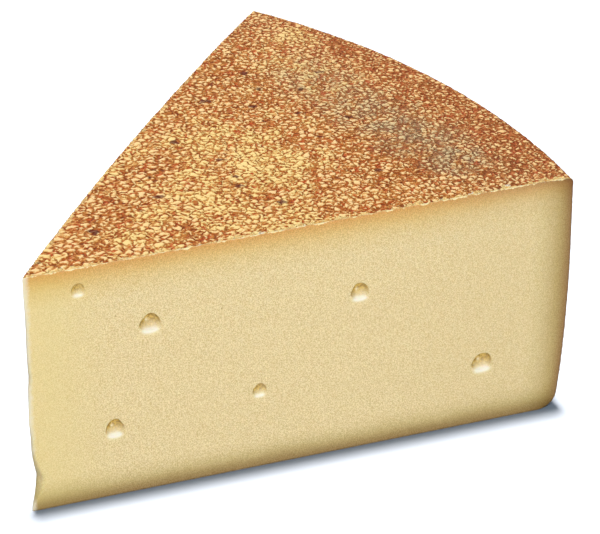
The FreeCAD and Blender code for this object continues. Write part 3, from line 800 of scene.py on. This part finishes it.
bsdf.inputs["Subsurface Radius"].default_value = (1.0, 0.7, 0.35)
bsdf.inputs["Subsurface Scale"].default_value = 0.0025
N.set(bsdf.inputs["Normal"], bump(N, grain, 0.05, 0.6))

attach(cheese, "root")
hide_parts("cheese_wedge")

# ---------------------------------------------------------------- floor, light and camera
bpy.ops.mesh.primitive_plane_add(size=6.0, location=(0, 0, 0))
floor = bpy.context.object
floor.name = "floor"
fm = bpy.data.materials.new("floor")
fm.use_nodes = True
ft = fm.node_tree
ft.nodes.clear()
seen, bounced = ft.nodes.new("ShaderNodeBsdfDiffuse"), ft.nodes.new("ShaderNodeBsdfDiffuse")
seen.inputs["Color"].default_value = (0.235, 0.245, 0.265, 1)       # burnt out to white, as in a cut-out picture
bounced.inputs["Color"].default_value = (0.09, 0.09, 0.09, 1)      # a white sheet, without its glare from below
path = ft.nodes.new("ShaderNodeLightPath")
either = ft.nodes.new("ShaderNodeMixShader")
ft.links.new(path.outputs["Is Camera Ray"], either.inputs[0])
ft.links.new(bounced.outputs[0], either.inputs[1])
ft.links.new(seen.outputs[0], either.inputs[2])
ft.links.new(either.outputs[0], ft.nodes.new("ShaderNodeOutputMaterial").inputs[0])
floor.data.materials.append(fm)

world = bpy.data.worlds.new("world")
bpy.context.scene.world = world
world.use_nodes = True
wt = world.node_tree
lit, backdrop = wt.nodes["Background"], wt.nodes.new("ShaderNodeBackground")
lit.inputs[0].default_value, lit.inputs[1].default_value = (0.93, 0.98, 1.08, 1), 0.24
backdrop.inputs[0].default_value, backdrop.inputs[1].default_value = (1, 1, 1, 1), 1.0      # what the camera sees past the sheet
path, either = wt.nodes.new("ShaderNodeLightPath"), wt.nodes.new("ShaderNodeMixShader")
wt.links.new(path.outputs["Is Camera Ray"], either.inputs[0])
wt.links.new(lit.outputs[0], either.inputs[1])
wt.links.new(backdrop.outputs[0], either.inputs[2])
wt.links.new(either.outputs[0], wt.nodes["World Output"].inputs[0])

YAW, PITCH = math.radians(-43.28), math.radians(32.91)
RIGHT = Vector((math.cos(YAW), math.sin(YAW), 0))
BACKV = Vector((math.sin(YAW) * math.cos(PITCH), -math.cos(YAW) * math.cos(PITCH), math.sin(PITCH)))
UP = BACKV.cross(RIGHT)
STAND = 160.0                                # mm, the length the camera is placed by
AIM = Vector((TIP_X + 0.5 * STAND, 0, 0.2 * STAND))
cam_pos = (AIM - (RIGHT * -0.104 - UP * 0.073 - BACKV * 7.630) * STAND) * MM
cam_data = bpy.data.cameras.new("camera")
cam_data.sensor_width = 36.0
cam_data.lens = 4266 / 600 * 36
cam_data.clip_end = 50
camera = bpy.data.objects.new("camera", cam_data)
rot = Matrix((RIGHT, UP, BACKV)).transposed()
camera.matrix_world = Matrix.Translation(cam_pos) @ rot.to_4x4()
bpy.context.scene.collection.objects.link(camera)
bpy.context.scene.camera = camera


def area(name, direction, distance, size, power, colour=(1, 1, 1)):
    d = Vector(direction).normalized()
    light = bpy.data.lights.new(name, "AREA")
    light.shape = "DISK"
    light.size = size
    light.energy = power
    light.color = colour
    o = bpy.data.objects.new(name, light)
    o.location = d * distance + Vector((0, 0, 0.03))
    o.rotation_euler = d.to_track_quat("Z", "Y").to_euler()
    bpy.context.scene.collection.objects.link(o)
    return o


AWAY = Vector((-BACKV.x, -BACKV.y, 0)).normalized()
UPZ = Vector((0, 0, 1))
on_floor, on_cheese = bpy.data.collections.new("on_floor"), bpy.data.collections.new("on_cheese")
on_floor.objects.link(floor)
on_cheese.objects.link(cheese)
# the sheet has its own two lamps: one from overhead for the soft shadow, one from in front that keeps the shadow from going black
for name, direction, spread, power, colour in (
        ("shade", UPZ * 1.0 + AWAY * 0.066 + RIGHT * 0.004, 0.105, 15.0, (1, 1, 1)),
        ("open", UPZ * 1.0 - AWAY * 1.0, 0.5, 2.1, (0.78, 1.0, 1.18))):
    sun = bpy.data.lights.new(name, "SUN")
    sun.energy, sun.angle, sun.color = power, spread, colour
    o = bpy.data.objects.new(name, sun)
    o.rotation_euler = direction.to_track_quat("Z", "Y").to_euler()
    bpy.context.scene.collection.objects.link(o)
    o.light_linking.receiver_collection = on_floor
FACING = Vector((FRONT_N[0], FRONT_N[1], 0))
for name, direction, distance, size, power in (
        ("key", UPZ * 1.0 + AWAY * 0.20 - RIGHT * 0.20, 1.3, 0.55, 2.6),
        ("rake", UPZ * 0.58 + AWAY * 1.0 - RIGHT * 0.44, 1.6, 0.12, 22.8),        # brings out the rind's relief
        ("fill", UPZ * 0.45 + FACING * 1.0 - RIGHT * 0.10, 1.6, 0.7, 18.0)):
    area(name, direction, distance, size, power).light_linking.receiver_collection = on_cheese
bpy.context.scene.view_settings.view_transform = "Standard"
